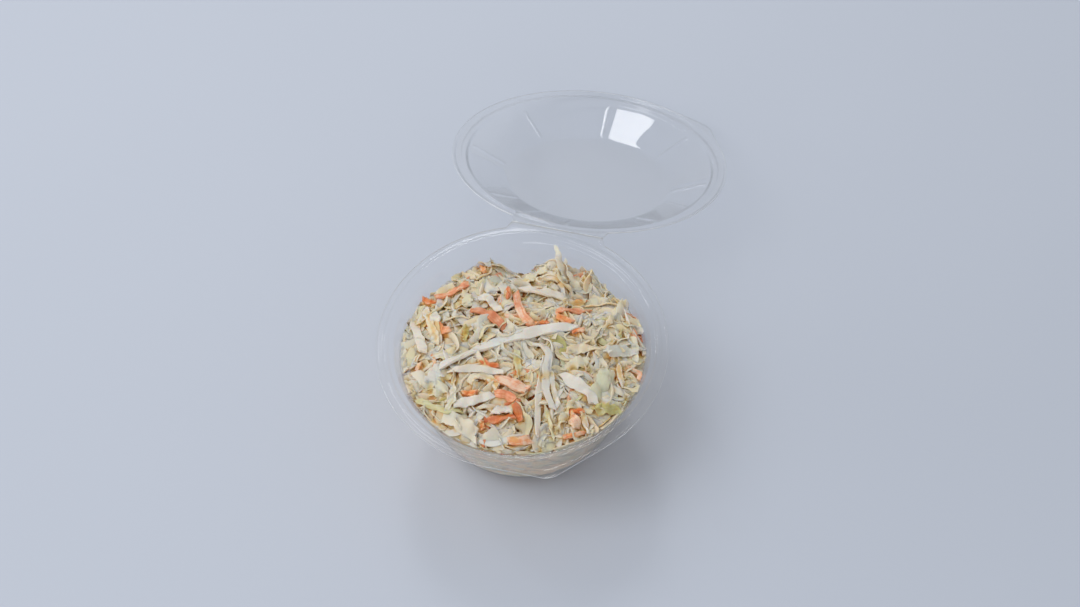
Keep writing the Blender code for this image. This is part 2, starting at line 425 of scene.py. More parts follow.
# What the salad is made of. Width, thickness and length are ranges in millimetres. stiff is how well a
# strip bridges the gaps under it. bend is in radians along a strip, roll in degrees. arch is how far
# a strip rises and falls along its way.
KINDS = {
    "cabbage_white": {
        "width": (2.0, 4.8), "thick": (0.8, 1.3), "length": (12.0, 32.0), "stiff": 12,
        "bend": 1.0, "cup": 0.15, "ripple": 0.12, "roll": 22.0, "taper": 0.45, "ragged": 0.06, "arch": 0.8,
    },
    "cabbage_cream": {
        "width": (2.2, 6.8), "thick": (0.6, 1.0), "length": (10.0, 26.0), "stiff": 8,
        "bend": 1.6, "cup": 0.6, "ripple": 0.45, "roll": 28.0, "taper": 0.8, "ragged": 0.14, "arch": 1.0,
    },
    "cabbage_leaf": {
        "width": (3.0, 8.5), "thick": (0.4, 0.7), "length": (9.0, 22.0), "stiff": 6,
        "bend": 1.7, "cup": 0.9, "ripple": 0.70, "roll": 32.0, "taper": 0.9, "ragged": 0.20, "arch": 1.2,
    },
    "cabbage_green": {
        "width": (1.2, 3.6), "thick": (0.35, 0.6), "length": (8.0, 22.0), "stiff": 6,
        "bend": 1.8, "cup": 0.8, "ripple": 0.45, "roll": 40.0, "taper": 0.9, "ragged": 0.14, "arch": 1.0,
    },
    "cabbage_clear": {
        "width": (3.0, 6.0), "thick": (0.35, 0.55), "length": (7.0, 14.0), "stiff": 8,
        "bend": 0.9, "cup": 0.5, "ripple": 0.35, "roll": 24.0, "taper": 0.6, "ragged": 0.12, "arch": 0.6,
    },
    "cabbage_fine": {
        "width": (0.8, 1.7), "thick": (0.5, 0.8), "length": (8.0, 22.0), "stiff": 7,
        "bend": 2.2, "cup": 0.2, "ripple": 0.10, "roll": 45.0, "taper": 0.8, "ragged": 0.10, "arch": 1.0,
    },
    "carrot": {
        "width": (1.4, 3.0), "thick": (0.9, 1.4), "length": (5.0, 16.0), "stiff": 16,
        "bend": 0.5, "cup": 0.03, "ripple": 0.02, "roll": 30.0, "taper": 0.35, "ragged": 0.025, "arch": 0.2,
    },
}


class Strips:
    """All strips of one kind, gathered for one mesh."""

    def __init__(self, name):
        self.name = name
        self.points = []
        self.faces = []
        self.places = []
        self.tones = []
        self.depths = []
        self.count = 0

    def add(self, rings, places, tone, depths=None):
        """Rings of points along a strip. depths says how deep each lies, where the heap doesn't."""
        stations, around = rings.shape[:2]
        first = self.count
        self.count += stations * around
        self.points.append(rings.reshape(-1, 3))
        self.places.append(places.reshape(-1, 2))
        self.tones.append(np.full(stations * around, tone))
        self.depths.append(np.full(stations * around, np.nan) if depths is None else depths.ravel())
        for s in range(stations - 1):
            for k in range(around):
                low, high = first + s * around, first + (s + 1) * around
                following = (k + 1) % around
                self.faces.append((low + k, low + following, high + following, high + k))
        self.faces.append(tuple(first + k for k in reversed(range(around))))
        self.faces.append(tuple(first + (stations - 1) * around + k for k in range(around)))

    def build(self, surface):
        points = np.concatenate(self.points)
        places = np.concatenate(self.places)
        depths = np.concatenate(self.depths)
        buried = surface.read(points[:, 0], points[:, 1]) - points[:, 2]
        depths = np.where(np.isnan(depths), buried, depths)
        mesh = bpy.data.meshes.new(self.name)
        mesh.from_pydata((points * MM).tolist(), [], self.faces)
        for title, values in (("tone", np.concatenate(self.tones)), ("depth", depths)):
            layer = mesh.attributes.new(title, "FLOAT", "POINT")
            layer.data.foreach_set("value", values.astype(np.float32))
        layer = mesh.uv_layers.new(name="along")
        corners = np.empty(len(mesh.loops), np.int32)
        mesh.loops.foreach_get("vertex_index", corners)
        layer.data.foreach_set("uv", (places[corners] * MM).astype(np.float32).ravel())
        mesh.shade_smooth()
        mesh.set_sharp_from_angle(angle=math.radians(50.0))
        piece = bpy.data.objects.new(self.name, mesh)
        bpy.context.scene.collection.objects.link(piece)
        return piece


def strip_rings(rng, centre, normal, width, thick, kind):
    """Rings of points round a strip's centre line, with cupped, rippled and slightly ragged edges."""
    stations = len(centre)
    tangent = np.gradient(centre, axis=0)
    tangent /= np.linalg.norm(tangent, axis=1, keepdims=True)
    normal = normal - tangent * np.sum(normal * tangent, axis=1, keepdims=True)
    normal /= np.linalg.norm(normal, axis=1, keepdims=True)
    side = np.cross(tangent, normal)
    flat, up = SECTION[None, :, 0], SECTION[None, :, 1]
    along = np.concatenate(([0.0], np.cumsum(np.linalg.norm(np.diff(centre, axis=0), axis=1))))
    waves = along[:, None] * rng.uniform(0.5, 1.1) + rng.uniform(0, 6.3)
    cup = kind["cup"] * rng.uniform(-0.6, 1.0) * width[:, None] / 4
    lift = cup * (flat**2 - 0.4)
    lift = lift + kind["ripple"] * np.sin(waves + 1.7 * np.sign(flat)) * np.abs(flat) ** 2
    edges = np.column_stack([smoothed(rng.normal(0, 2 * kind["ragged"], stations), 2) for _ in range(2)])
    edge = np.where(flat > 0, edges[:, :1], edges[:, 1:])
    b = flat * width[:, None] / 2 * (1 + edge)
    wedge = 1 + flat * rng.uniform(-0.5, 0.5)
    n = up * thick[:, None] / 2 * wedge * (1 + rng.normal(0, 0.05, (stations, len(SECTION)))) + lift
    rings = centre[:, None] + b[..., None] * side[:, None] + n[..., None] * normal[:, None]
    slant = rng.uniform(-0.8, 0.8, 2)
    rings[0] -= tangent[0] * (b[0] * slant[0])[:, None]
    rings[-1] += tangent[-1] * (b[-1] * slant[1])[:, None]
    length = np.broadcast_to(along[:, None], b.shape)
    places = np.stack((b + 40.0 * rng.uniform(), length + 90.0 * rng.uniform()), -1)
    return rings, places


def end_profile(rng, stations, taper):
    """Share of the full width along a strip, narrower at the ends."""
    s = np.linspace(0.0, 1.0, stations)
    start, end = rng.uniform(0.0, taper, 2)
    reach = rng.uniform(0.1, 0.5, 2)
    grow = 1 - start * np.clip(1 - s / reach[0], 0, 1) ** 1.5
    shrink = 1 - end * np.clip(1 - (1 - s) / reach[1], 0, 1) ** 1.5
    swell = 0.11 * np.sin(s * rng.uniform(3, 7) + rng.uniform(0, 6.3))
    return grow * shrink * (1 + swell + 0.07 * np.sin(s * rng.uniform(9, 15) + rng.uniform(0, 6.3)))


def lay(rng, bed, strips, name, plan, width, thick, cap=None, above=0.7, roll=None, heights=None, tone=None):
    """Lay one strip on the bed along a route in plan, or at the given heights, narrowing to a tip.

    It is pressed down into the bed where its middle would stand higher than that much above the cap.
    """
    kind = KINDS[name]
    stations = len(plan)
    heading = np.gradient(plan, axis=0)
    heading /= np.maximum(np.linalg.norm(heading, axis=1, keepdims=True), 1e-6)
    side = np.stack((-heading[:, 1], heading[:, 0]), -1)
    widths = width * end_profile(rng, stations, kind["taper"])
    if heights is not None:
        widths = width * (1 - 0.93 * np.linspace(0.0, 1.0, stations) ** 1.4)
    thicks = thick * (0.75 + 0.25 * widths / width)
    offsets = ACROSS[None, :] * widths[:, None]
    x = plan[:, None, 0] + side[:, None, 0] * offsets
    y = plan[:, None, 1] + side[:, None, 1] * offsets
    ground = bed.read(x, y)
    slope = (ground[:, -2:].mean(axis=1) - ground[:, :2].mean(axis=1)) / np.maximum(widths * 0.83, 0.3)
    lean = np.arctan(smoothed(slope, 6)) * 0.75
    if roll is None:
        roll = math.radians(rng.normal(0.0, kind["roll"]))
    twist = math.radians(rng.normal(0.0, kind["roll"])) * np.linspace(-0.5, 0.5, stations)
    lean = np.clip(lean + roll + twist, -1.15, 1.15)
    x = plan[:, None, 0] + side[:, None, 0] * offsets * np.cos(lean)[:, None]
    y = plan[:, None, 1] + side[:, None, 1] * offsets * np.cos(lean)[:, None]
    if heights is None:
        under = (bed.read(x, y) - offsets * np.sin(lean)[:, None]).max(axis=1) + thicks / 2 - 0.12
        heights = smoothed(settle(under, kind["stiff"]), 2) + arched(rng, plan, kind["arch"])
    if cap is not None:
        highest = np.minimum(cap.read(plan[:, 0], plan[:, 1]) + above, HIGHEST - 1.6)
        heights = smoothed(np.minimum(heights, highest), 2)
    tops = heights[:, None] + offsets * np.sin(lean)[:, None] + thicks[:, None] / 2
    centre = np.column_stack((plan, heights))
    normal = np.column_stack((-side * np.sin(lean)[:, None], np.cos(lean)))
    rings, places = strip_rings(rng, centre, normal, widths, thicks, kind)
    far = np.hypot(rings[..., 0], rings[..., 1])
    limit = wall_radius(np.clip(rings[..., 2], 1.0, 51.9)) + INTO_WALL / 2
    rings[..., :2] *= np.minimum(1.0, limit / np.maximum(far, 1e-6))[..., None]
    rings[..., 2] = np.minimum(rings[..., 2], HIGHEST)
    strips[name].add(rings, places, rng.uniform() if tone is None else tone)
    bed.cover(x, y, tops)


def arched(rng, plan, most):
    """How far a strip stands clear of what it lies on, in low arches, with its ends down."""
    along = np.concatenate(([0.0], np.cumsum(np.linalg.norm(np.diff(plan, axis=0), axis=1))))
    waves = np.sin(along * 2 * np.pi / rng.uniform(7.0, 15.0) + rng.uniform(0, 6.3))
    ends = np.clip(np.minimum(along, along[-1] - along) / 2.5, 0.0, 1.0)
    return most * rng.uniform(0.2, 1.0) * np.maximum(waves, 0.0) * ends


def wandering(rng, start, heading, length, bend):
    """A loosely curved route in plan, centred on start, with a point about every millimetre."""
    stations = int(np.clip(length / 1.1, 7, 22))
    s = np.linspace(0.0, 1.0, stations)
    turn = heading + bend * (s - 0.5) + 0.22 * np.sin(2 * np.pi * (s * rng.uniform(0.8, 1.6) + rng.uniform()))
    step = length / (stations - 1)
    plan = np.cumsum(np.column_stack((np.cos(turn), np.sin(turn))) * step, axis=0)
    plan += np.array(start) - plan.mean(axis=0)
    radius = np.hypot(plan[:, 0], plan[:, 1])
    return plan * np.minimum(1.0, 53.6 / np.maximum(radius, 1e-6))[:, None]


def through(points, stations):
    """A smooth route through the given points."""
    points = np.array(points, float)
    along = np.concatenate(([0.0], np.cumsum(np.linalg.norm(np.diff(points, axis=0), axis=1))))
    s = np.linspace(0.0, along[-1], stations)
    route = [smoothed(np.interp(s, along, points[:, axis]), 4) for axis in range(points.shape[1])]
    return np.column_stack(route)


def scatter(rng, bed, outline, strips, mix, count, floor):
    """Lay strips along the lowest lanes under the outline, if a lane is at least floor deep on average."""
    names = list(mix)
    shares = np.array([mix[n] for n in names]) / sum(mix.values())
    for _ in range(count):
        name = names[rng.choice(len(names), p=shares)]
        kind = KINDS[name]
        length = rng.uniform(*kind["length"])
        best, room = None, floor
        for _ in range(9):
            radius = 54.0 * math.sqrt(rng.uniform())
            turn = rng.uniform(0, 2 * np.pi)
            start = (radius * math.cos(turn), radius * math.sin(turn))
            plan = wandering(rng, start, rng.uniform(0, np.pi), length, rng.normal(0, kind["bend"]))
            free = outline.read(plan[:, 0], plan[:, 1]) - bed.read(plan[:, 0], plan[:, 1])
            score = free.mean() + 0.5 * free.min()
            if score > room:
                best, room = plan, score
        if best is None:
            continue
        width = rng.uniform(*kind["width"]) * min(1.0, 0.45 + length / 16)
        lay(rng, bed, strips, name, best, width, rng.uniform(*kind["thick"]), cap=outline)


MIX = {
    "cabbage_white": 28, "cabbage_cream": 28, "cabbage_leaf": 20, "cabbage_green": 8, "cabbage_clear": 4,
    "cabbage_fine": 12, "carrot": 6,
}

# Strips that stand out on top, in the order in which they lie on each other: kind, width, tone, route.
# A route is where the strip shows from the camera's side, as if at the rim's height.
STANDING_OUT = (
    ("carrot", 3.0, 0.5, ((-43.5, 15), (-38, 18.5), (-34.5, 22), (-31, 26))),
    ("carrot", 2.6, 0.3, ((-48, 13.5), (-46, 11.5), (-43, 13))),
    ("carrot", 4.8, 0.25, ((-26.5, 12), (-22, 13), (-15.5, 10.5), (-9.5, 7))),
    ("carrot", 4.0, 0.6, ((-9, 25), (-6.5, 19), (-3, 14), (2, 10.5))),
    ("carrot", 2.0, 0.2, ((-13, 27.5), (-12, 22.5))),
    ("carrot", 3.6, 0.4, ((10.5, 20), (15, 21.5), (20, 22), (24.5, 23.5))),
    ("carrot", 3.4, 0.7, ((11, 18), (15, 16.2), (19, 15.5))),
    ("carrot", 2.2, 0.5, ((2, 11), (5, 12.5), (8.5, 13.5))),
    ("carrot", 1.8, 0.4, ((16.5, 26), (19, 27.2), (22.5, 28))),
    ("carrot", 2.6, 0.4, ((20, 11.5), (25, 12.5))),
    ("carrot", 3.4, 0.6, ((-39, 2.5), (-36, -1.5), (-32, -0.5))),
    ("carrot", 2.4, 0.5, ((-28, 36.5), (-25.5, 33))),
    ("carrot", 3.0, 0.1, ((-15, -12.5), (-11, -15), (-7, -13.5))),
    ("carrot", 4.6, 0.8, ((-8, -21), (-2, -21), (3, -22.5), (8.5, -23.5))),
    ("carrot", 3.8, 0.2, ((-5, -28.5), (0, -27.5), (4.5, -30))),
    ("carrot", 3.8, 0.0, ((5, -31), (7, -35.5), (9.5, -40))),
    ("carrot", 3.4, 0.0, ((-5, -42.5), (0, -40.5), (6, -38))),
    ("carrot", 2.4, 0.6, ((-19, -31.5), (-13, -29.5))),
    ("carrot", 2.2, 0.9, ((-41, -20), (-41.5, -25))),
    ("carrot", 2.4, 0.9, ((-7.5, -43.5), (-5.5, -48))),
    ("carrot", 4.2, 0.7, ((6.5, -50.5), (11, -50), (16, -48.2))),
    ("carrot", 2.2, 0.6, ((29.5, -44), (34, -42), (38, -39.5))),
    ("carrot", 2.4, 0.4, ((28, -31), (32, -29.2), (35, -28.5))),
    ("carrot", 4.8, 1.0, ((30, -32), (32.5, -35), (34, -38))),
    ("cabbage_clear", 5.6, 0.9, ((-37.4, 34.8), (-31.3, 37.4), (-24.0, 38.4))),
    ("cabbage_cream", 7.5, 0.8, ((-24.3, -44.5), (-16, -46.7), (-7.5, -52.2))),
    ("cabbage_leaf", 8.0, 0.8, ((-37.7, -30.9), (-31.7, -27), (-25.6, -21.4))),
    ("cabbage_green", 4.6, 0.1, ((38.5, -26.6), (44.6, -25.6), (49.6, -23.4))),
    ("cabbage_green", 6.4, 1.0, ((40.2, -4.5), (39.4, -13), (37, -22))),
    ("cabbage_white", 4.6, 0.6, ((-46.5, 8), (-44, 5), (-41.5, 2))),
    ("cabbage_white", 4.4, 0.7, ((-49, -1), (-46.5, -5), (-43.5, -10), (-41, -14.5))),
    ("cabbage_white", 5.6, 0.6, ((-42.0, 7.1), (-39.0, -0.7), (-36.7, -7.9))),
    ("cabbage_cream", 4.0, 0.5, ((-44, 5), (-41.5, 0), (-38.5, -4.5), (-36, -8.5))),
    ("cabbage_green", 2.4, 0.2, ((-26.5, 4), (-25.5, 0), (-25, -4))),
    ("cabbage_leaf", 5.0, 0.5, ((-31.5, 22), (-29.5, 17.5), (-28.5, 13))),
    ("cabbage_white", 4.4, 0.8, ((-25, 19.5), (-21, 20), (-17, 17.5), (-14, 14))),
    ("cabbage_green", 3.0, 0.4, ((-37, -39.5), (-30, -41), (-23, -42), (-16.5, -39.5))),
    ("cabbage_leaf", 6.0, 0.6, ((-33, -36), (-30, -33), (-27, -28.5))),
    ("cabbage_white", 4.4, 0.8, ((-21, -38.5), (-15.5, -35.5), (-10, -32), (-6, -29))),
    ("cabbage_white", 6.4, 0.9, ((-4, -36.5), (0, -36), (5, -34))),
    ("cabbage_cream", 3.2, 0.6, ((-17.5, -25.5), (-16, -21.5), (-11.5, -20.5), (-7.5, -22), (-4.5, -25.5))),
    ("cabbage_white", 3.2, 0.6, ((-27.5, -22), (-21, -18.5), (-13, -16.8), (-4, -17))),
    ("cabbage_green", 3.2, 0.6, ((-1.5, -3.5), (0, -9), (2, -14), (3.5, -19))),
    ("cabbage_leaf", 5.0, 0.7, ((5, -17), (10, -16), (13, -13.5))),
    ("cabbage_cream", 4.0, 0.4, ((20, 1), (27, 3), (35, 5.5))),
    ("cabbage_leaf", 5.6, 0.7, ((22, -9.5), (25.5, -5), (31, -1.5))),
    ("cabbage_white", 4.8, 0.9, ((21, -11.5), (25.5, -14.5), (30.5, -16), (36, -19.5), (38.5, -24))),
    ("cabbage_white", 2.4, 0.5, ((44, -1), (45.5, -6), (48.5, -11.5))),
    ("cabbage_leaf", 3.6, 0.5, ((29, -24), (28, -30), (26.5, -36), (25.5, -41))),
    ("cabbage_white", 3.0, 0.6, ((34.5, -29), (37, -34.5), (40, -39.5))),
    ("cabbage_leaf", 3.4, 0.5, ((33, 14), (35, 19.5), (37, 26), (38, 30))),
    ("cabbage_clear", 5.0, 0.6, ((36.7, 4), (44, 5.9), (51, 7))),
    ("cabbage_white", 3.8, 0.7, ((-8, 28.5), (0, 28), (9, 28.5), (14, 26))),
    ("cabbage_cream", 3.6, 0.6, ((12, 25.5), (16.5, 25), (22, 26.5))),
    ("cabbage_leaf", 4.4, 0.6, ((-7.5, 30.5), (-3.5, 36.5), (1, 41.5))),
    ("cabbage_leaf", 4.2, 0.5, ((14, 32), (9.5, 36), (6.5, 40.5), (3.5, 46))),
    ("cabbage_white", 2.8, 0.7, ((11, -4), (12, -14), (13.5, -25), (16, -36), (18.5, -46))),
    ("cabbage_white", 2.6, 0.6, ((16, -11), (19, -20), (23.5, -28.5))),
    ("cabbage_green", 1.9, 0.9, ((17.5, -29), (21.5, -36.5), (26, -46))),
    ("cabbage_white", 3.6, 0.8, ((4.5, 1), (9, 1.5), (13, -2.5), (14, -12), (15.8, -21), (21.5, -30.5))),
    ("cabbage_leaf", 2.4, 0.8, ((-25.5, -21), (-23.5, -29), (-22, -36), (-23.5, -43))),
    ("cabbage_clear", 6.6, 0.8, ((-34.5, -29.5), (-33, -25), (-30, -20))),
    ("cabbage_white", 4.8, 1.0, ((-32, -20), (-26, -14.5), (-17.4, -6.8), (-4.3, 3.3), (7.2, 9), (21.7, 14))),
)

# Tips that stand up from the heap: kind, width, tone, route with heights above the table.
TIPS = (
    ("cabbage_leaf", 9.0, 1.0, ((13.3, 31, 44.5), (11, 37.5, 47), (8, 43, 49.5), (4.5, 49, 51.5), (1.3, 55.2, 53))),
    ("cabbage_leaf", 4.4, 0.8, ((18, 37, 45), (12.5, 42, 48), (8.5, 46.5, 50), (7, 50.5, 51.5))),
    ("cabbage_leaf", 12.0, 0.9, ((40.5, 4, 46), (39.5, 13.7, 48), (38, 25.2, 50.5), (37, 34, 53))),
    ("cabbage_white", 3.4, 0.7, ((47.3, 8, 47), (46.3, 14, 48.5), (43.5, 21.8, 50), (39, 29.5, 52))),
    ("cabbage_green", 2.4, 0.9, ((18.5, 42, 43.5), (17, 45.5, 46), (16, 48.5, 46.8))),
)


def onto_heap(points, outline):
    """Move a route from the rim's height along the line of sight down or up to the heap's outline."""
    away = np.array((-math.sin(math.radians(CAMERA_AZIMUTH)), math.cos(math.radians(CAMERA_AZIMUTH))))
    away = away / math.tan(math.radians(CAMERA_ELEVATION))
    shown = np.array(points, float)
    moved = shown.copy()
    for _ in range(12):
        drop = RIM_HEIGHT / MM - outline.read(moved[:, 0], moved[:, 1])
        moved = (moved + shown + away * drop[:, None]) / 2
    return moved


def make_heap():
    """Random strips up to just under the outline, then the ones that stand out on top."""
    rng = np.random.default_rng(23)
    outline = Bed(heap_outline())
    bed = Bed(outline.heights - CORE_DEPTH)
    strips = {name: Strips(name) for name in KINDS}
    scatter(rng, bed, outline, strips, MIX, 1400, 2.1)
    for name, width, tone, points in STANDING_OUT:
        thick = rng.uniform(*KINDS[name]["thick"])
        roll = math.radians(rng.normal(0, 9))
        stations = 14 + 4 * len(points)
        plan = through(onto_heap(points, outline), stations)
        lay(rng, bed, strips, name, plan, width, thick, cap=outline, above=2.8, roll=roll, tone=tone)
    for name, width, tone, points in TIPS:
        route = through(points, 20)
        lay(rng, bed, strips, name, route[:, :2], width, 0.5, roll=0.2, heights=route[:, 2], tone=tone)
    press_on_wall(rng, outline, strips)
    return strips, outline, bed


def press_on_wall(rng, outline, strips):
    """Strips that lie against the clear wall, the first ones touching it and the others behind them."""
    wall = WallBed()
    names = list(MIX)
    shares = np.array([MIX[n] for n in names]) / sum(MIX.values())
    stations = 12
    for _ in range(300):
        name = names[rng.choice(len(names), p=shares)]
        kind = KINDS[name]
        turns = rng.uniform(0, 360, 10)
        lifts = rng.uniform(2.0, 46.0, 10)
        best = int(np.argmin(wall.read(turns, lifts) + 0.02 * rng.uniform(size=10)))
        length = rng.uniform(*kind["length"])
        width = rng.uniform(*kind["width"]) * min(1.0, 0.45 + length / 16)
        thick = min(rng.uniform(*kind["thick"]), 1.1)
        s = np.linspace(-0.5, 0.5, stations)
        way = rng.normal(0, 0.6) + rng.normal(0, kind["bend"] * 0.6) * s
        step = length / (stations - 1)
        round_way = np.cumsum(np.cos(way)) * step
        lift = lifts[best] + np.cumsum(np.sin(way)) * step
        radius = wall_radius(np.clip(lift, 1.0, 51.0))
        turn = turns[best] + np.degrees(round_way / radius)
        edge = outline.read(radius * np.cos(np.radians(turn)), radius * np.sin(np.radians(turn)))
        lift = np.clip(lift, 2.0, edge - 0.8)
        radius = wall_radius(lift)
        widths = width * end_profile(rng, stations, kind["taper"])
        rise = np.gradient(lift) / step
        offsets = ACROSS[None, :] * widths[:, None]
        up_share = np.sqrt(np.clip(1 - rise**2, 0.05, 1.0))
        across_turn = turn[:, None] - np.degrees(offsets * rise[:, None] / radius[:, None])
        across_lift = lift[:, None] + offsets * up_share[:, None]
        taken = wall.read(across_turn, across_lift).max(axis=1)
        depth = settle(taken, 3) + thick / 2
        if depth.max() > 2.4:
            continue
        slope = (wall_radius(lift + 0.5) - wall_radius(lift - 0.5)) / 1.0
        angle = np.radians(turn)
        inward = np.column_stack((-np.cos(angle), -np.sin(angle), slope))
        inward /= np.linalg.norm(inward, axis=1, keepdims=True)
        on_wall = np.column_stack((radius * np.cos(angle), radius * np.sin(angle), lift))
        centre = on_wall + inward * (depth - INTO_WALL)[:, None]
        flat_kind = dict(kind, cup=0.0, ripple=0.02)
        rings, places = strip_rings(rng, centre, inward, widths, np.full(stations, thick), flat_kind)
        far = np.hypot(rings[..., 0], rings[..., 1])
        limit = wall_radius(np.clip(rings[..., 2], 1.0, 51.9)) + INTO_WALL
        rings[..., :2] *= np.minimum(1.0, limit / far)[..., None]
        rings[..., 2] = np.maximum(rings[..., 2], 0.6)
        strips[name].add(rings, places, rng.uniform(), np.broadcast_to(depth[:, None] * 0.5 - 2.0, rings.shape[:2]))
        wall.cover(across_turn, across_lift, np.broadcast_to((depth + thick / 2)[:, None], across_turn.shape))


def smooth(value, low, high):
    share = min(max((value - low) / (high - low), 0.0), 1.0)
    return share * share * (3 - 2 * share)


def make_core(outline, bed):
    """The dressed mass between and under the strips. It reaches just into the bowl's wall.

    Its top is the thick dressing that fills the gaps up to a little under the strips' own level.
    """
    level = bed.evened(8)
    around = bed.evened(60)
    angles = np.linspace(0.0, 2 * np.pi, 260, endpoint=False)
    rng = np.random.default_rng(5)
    waves = [(rng.uniform(0.35, 1.3), rng.uniform(0, 2 * np.pi), rng.uniform(0, 2 * np.pi)) for _ in range(16)]

    def relief(x, y, z):
        total = 0.0
        for pitch, way, phase in waves:
            total += math.sin((x * math.cos(way) + y * math.sin(way) + z * math.cos(3 * way)) * pitch + phase)
        return total / 4

    points = []
    depths = []

    def put(x, y, z, depth):
        points.append((x, y, z))
        depths.append(depth)

    low = WALL_HEIGHTS[0] - INTO_WALL
    put(0.0, 0.0, low, 0.0)
    side_rings = 84
    for height in np.linspace(low, 47.0, side_rings):
        for a in angles:
            reach = wall_radius(height) + INTO_WALL / 2
            top = min(height, float(outline.read(reach * math.cos(a), reach * math.sin(a))) - 2.4)
            reach = wall_radius(top) + INTO_WALL / 2
            x, y = reach * math.cos(a), reach * math.sin(a)
            dip = 0.25 * smooth(relief(x, y, top * 1.3), 0.05, 0.75) * smooth(top, 1.5, 5.0)
            put(x * (1 - dip / reach), y * (1 - dip / reach), top, dip * 1.5 - 2.0)
    inner = 70
    for k in range(inner, 0, -1):
        share = k / (inner + 1)
        for a in angles:
            radius = 52.0 * share
            x, y = radius * math.cos(a), radius * math.sin(a)
            sink = DRESSING_DEPTH + 0.8 * smooth(share, 0.93, 1.0)
            top = float(level.read(x, y)) - sink + relief(x, y, 0.0) * 0.3
            put(x, y, top, min(float(around.read(x, y)) - top - 1.4, 3.6 - 5.6 * smooth(share, 0.86, 0.96)))
    put(0.0, 0.0, float(level.read(0.0, 0.0)) - DRESSING_DEPTH, DRESSING_DEPTH)
    count = len(angles)
    total = side_rings + inner
    faces = [(0, 1 + (k + 1) % count, 1 + k) for k in range(count)]
    for r in range(total - 1):
        for k in range(count):
            first, second = 1 + r * count, 1 + (r + 1) * count
            following = (k + 1) % count
            faces.append((first + k, first + following, second + following, second + k))
    last = 1 + (total - 1) * count
    faces += [(last + k, last + (k + 1) % count, len(points) - 1) for k in range(count)]
    mesh = bpy.data.meshes.new("slaw_core")
    mesh.from_pydata((np.array(points) * MM).tolist(), [], faces)
    layer = mesh.attributes.new("depth", "FLOAT", "POINT")
    layer.data.foreach_set("value", np.array(depths, np.float32))
    mesh.shade_smooth()
    piece = bpy.data.objects.new("slaw_core", mesh)
    bpy.context.scene.collection.objects.link(piece)
    return piece


# ---------------------------------------------------------------- materials

class Nodes:
    """Short hand for building a material's node tree."""

    def __init__(self, name):
        self.material = bpy.data.materials.new(name)
        self.material.use_nodes = True
        self.tree = self.material.node_tree
        self.tree.nodes.clear()

    def add(self, kind, **sockets):
        node = self.tree.nodes.new("ShaderNode" + kind)
        for name, value in sockets.items():
            name = name.replace("_", " ")
            if isinstance(value, bpy.types.NodeSocket):
                self.tree.links.new(value, node.inputs[name])
            else:
                node.inputs[name].default_value = value
        return node

    def ramp(self, factor, *stops):
        node = self.tree.nodes.new("ShaderNodeValToRGB")
        self.tree.links.new(factor, node.inputs["Fac"])
        elements = node.color_ramp.elements
        while len(elements) < len(stops):
            elements.new(0.5)
        for element, (position, colour) in zip(elements, stops):
            element.position = position
            element.color = (*colour, 1.0)
        return node.outputs["Color"]

    def math(self, operation, *values):
        node = self.tree.nodes.new("ShaderNodeMath")
        node.operation = operation
        for socket, value in zip(node.inputs, values):
            if isinstance(value, bpy.types.NodeSocket):
                self.tree.links.new(value, socket)
            else:
                socket.default_value = value
        return node.outputs["Value"]

    def attribute(self, name):
        node = self.tree.nodes.new("ShaderNodeAttribute")
        node.attribute_name = name
        return node.outputs["Fac"]

    def mix_shaders(self, factor, first, second):
        node = self.tree.nodes.new("ShaderNodeMixShader")
        self.tree.links.new(factor, node.inputs[0])
        self.tree.links.new(first, node.inputs[1])
        self.tree.links.new(second, node.inputs[2])
        return node.outputs["Shader"]

    def finish(self, shader):
        out = self.tree.nodes.new("ShaderNodeOutputMaterial")
        self.tree.links.new(shader, out.inputs["Surface"])
        return self.material


def plastic_material():
    """Clear sheet: light passes straight through, each face mirrors more as it turns edge-on, and a little painted
    shade darkens it there.
    """
    n = Nodes("clear_sheet")
    place = n.add("TexCoord").outputs["Object"]
    wave = n.add("TexNoise", Vector=place, Scale=60.0, Detail=1.0)
    bump = n.add("Bump", Strength=0.04, Distance=0.002, Height=wave.outputs["Fac"]).outputs["Normal"]
    smear = n.add("TexNoise", Vector=place, Scale=140.0, Detail=3.0)
    rough = n.add("MapRange", Value=smear.outputs["Fac"])
    rough.inputs["From Min"].default_value = 0.4
    rough.inputs["From Max"].default_value = 0.8
    rough.inputs["To Min"].default_value = 0.02
    rough.inputs["To Max"].default_value = 0.07
    facing = n.add("LayerWeight", Blend=0.5, Normal=bump).outputs["Facing"]
    mirror = n.math("MULTIPLY_ADD", n.math("POWER", facing, 4.0), 0.95, 0.024)
    # Painted shade: what shows through is dimmed a little as the sheet turns edge-on, in place of the dark lines
    # that refraction draws.
    edge_on_shade = n.ramp(facing, (0.0, (1.0, 1.0, 1.0)), (0.6, (0.993, 0.995, 0.998)), (1.0, (0.97, 0.975, 0.985)))
    veil = n.math("MULTIPLY_ADD", n.math("POWER", facing, 3.0), 0.14, 0.006)
    clear = n.add("BsdfTransparent", Color=edge_on_shade).outputs["BSDF"]
    haze = n.add("BsdfDiffuse", Color=(0.86, 0.89, 0.93, 1.0)).outputs["BSDF"]
    gloss = n.add("BsdfGlossy", Roughness=rough.outputs["Result"], Normal=bump).outputs["BSDF"]
    body = n.mix_shaders(veil, clear, haze)
    return n.finish(n.mix_shaders(mirror, body, gloss))


